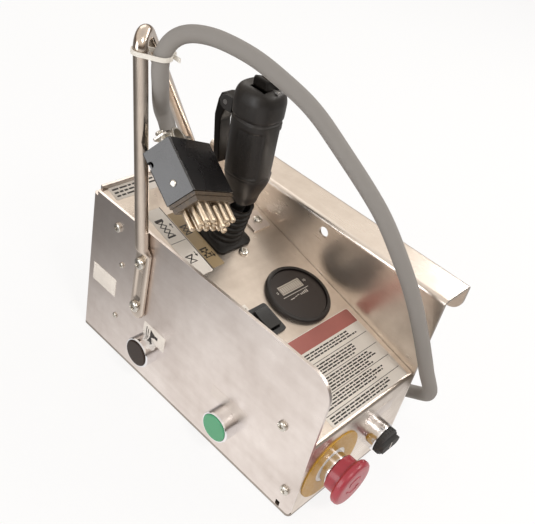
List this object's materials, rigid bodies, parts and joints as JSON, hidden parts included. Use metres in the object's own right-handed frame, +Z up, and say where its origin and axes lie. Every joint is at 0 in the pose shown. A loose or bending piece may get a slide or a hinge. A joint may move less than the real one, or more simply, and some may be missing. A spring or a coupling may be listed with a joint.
{
  "type": "scissor lift control box",
  "caption": "Folded steel control box with a rail hook, sloped panel with joystick and gauge, push buttons, carrying handle, and a tied cable ending in a bladed connector.",
  "frame": {"origin": "middle of the underside of the bottom plate", "axes": "+X towards the hook that hangs on the guard rail, -Y towards the front face with the stop button, +Z up"},
  "size_m": [0.1946, 0.3025, 0.312],
  "materials": {
    "sheet_steel": "brushed stainless sheet, satin",
    "tube_steel": "polished stainless tube",
    "zinc": "zinc plated, semi gloss",
    "chrome": "bright chrome",
    "black_plastic": "moulded black, satin",
    "gloss_black": "glossy black",
    "rubber": "matt black rubber",
    "horn_black": "dark brown black cap",
    "green_cap": "green cap",
    "red_cap": "red mushroom head",
    "yellow_plate": "yellow printed plate",
    "dial": "dark dial",
    "cable_grey": "grey cable jacket",
    "tie_white": "off-white nylon",
    "cap_black": "black painted metal",
    "insulator_brown": "brown moulded insulator",
    "blade_nickel": "nickel plated blades",
    "board_green": "circuit board",
    "inner_dark": "dark moulding"
  },
  "bodies": {
    "enclosure": {"side_shell": "sheet_steel", "hook_plate": "sheet_steel", "bottom_cover": "sheet_steel", "control_panel": "sheet_steel", "guard_handle": "tube_steel", "handle_bolts": "zinc", "handle_nuts": "zinc", "side_screws": "zinc", "bottom_screws": "zinc", "panel_screws": "zinc", "joystick_body": "inner_dark", "joystick_strap": "sheet_steel", "joystick_boot": "rubber", "gauge_case": "black_plastic", "gauge_lens": "dial", "gauge_clamp": "zinc", "rocker_frame": "black_plastic", "horn_bezel": "chrome", "horn_block": "inner_dark", "enable_bezel": "chrome", "enable_block": "inner_dark", "estop_legend": "yellow_plate", "estop_collar": "chrome", "estop_block": "inner_dark", "selector_bezel": "chrome", "selector_block": "inner_dark", "cable_gland": "black_plastic", "gland_nut": "black_plastic", "cable": "cable_grey", "cable_tie": "tie_white", "plug_cap": "cap_black", "plug_insulator": "insulator_brown", "plug_blades": "blade_nickel", "plug_clamp": "zinc", "plug_screws": "zinc", "control_board": "board_green", "board_standoffs": "zinc", "terminal_strip": "inner_dark"},
    "stick": {"joystick_shaft": "zinc", "joystick_pin": "zinc", "joystick_grip": "black_plastic", "trigger_bracket": "black_plastic", "trigger_pin": "zinc", "thumb_pin": "zinc"},
    "trigger": {"joystick_trigger": "black_plastic"},
    "thumb": {"thumb_rocker": "black_plastic"},
    "rocker": {"rocker_paddle": "gloss_black"},
    "horn": {"horn_cap": "horn_black"},
    "enable": {"enable_cap": "green_cap"},
    "estop_stem": {"estop_plunger": "inner_dark"},
    "estop_knob": {"estop_head": "red_cap"},
    "selector": {"selector_knob": "gloss_black"}
  },
  "joints": [
    {"name": "joystick_tilt", "type": "hinge", "parent": "enclosure", "child": "stick", "pos_m": [0.0085, 0.05323, 0.11398], "axis": [1, 0, 0], "range_deg": [-10, 10], "stiffness_Nm_per_rad": 6, "deforming": ["joystick_boot"]},
    {"name": "trigger_squeeze", "type": "hinge", "parent": "stick", "child": "trigger", "pos_m": [0.0085, 0.06583, 0.24391], "axis": [-1, 0, 0], "range_deg": [0, 8], "stiffness_Nm_per_rad": 0.3},
    {"name": "thumb_steer", "type": "hinge", "parent": "stick", "child": "thumb", "pos_m": [0.0085, 0.03671, 0.26754], "axis": [0, 0.9993, -0.0384], "range_deg": [-10, 10], "stiffness_Nm_per_rad": 0.06},
    {"name": "rocker_tilt", "type": "hinge", "parent": "enclosure", "child": "rocker", "pos_m": [-0.0195, -0.0342, 0.10569], "axis": [1, 0, 0], "range_deg": [-10, 10]},
    {"name": "horn_push", "type": "slide", "parent": "enclosure", "child": "horn", "axis": [1, 0, 0], "range_m": [0, 0.004], "stiffness_N_per_m": 600},
    {"name": "enable_push", "type": "slide", "parent": "enclosure", "child": "enable", "axis": [1, 0, 0], "range_m": [0, 0.004], "stiffness_N_per_m": 600},
    {"name": "estop_push", "type": "slide", "parent": "enclosure", "child": "estop_stem", "axis": [0, 1, 0], "range_m": [0, 0.005], "stiffness_N_per_m": 900},
    {"name": "estop_twist", "type": "hinge", "parent": "estop_stem", "child": "estop_knob", "pos_m": [-0.0295, -0.1325, 0.039], "axis": [0, -1, 0], "range_deg": [-30, 0], "stiffness_Nm_per_rad": 0.05},
    {"name": "selector_turn", "type": "hinge", "parent": "enclosure", "child": "selector", "pos_m": [0.0255, -0.1325, 0.039], "axis": [0, -1, 0], "range_deg": [-45, 45]}
  ]
}
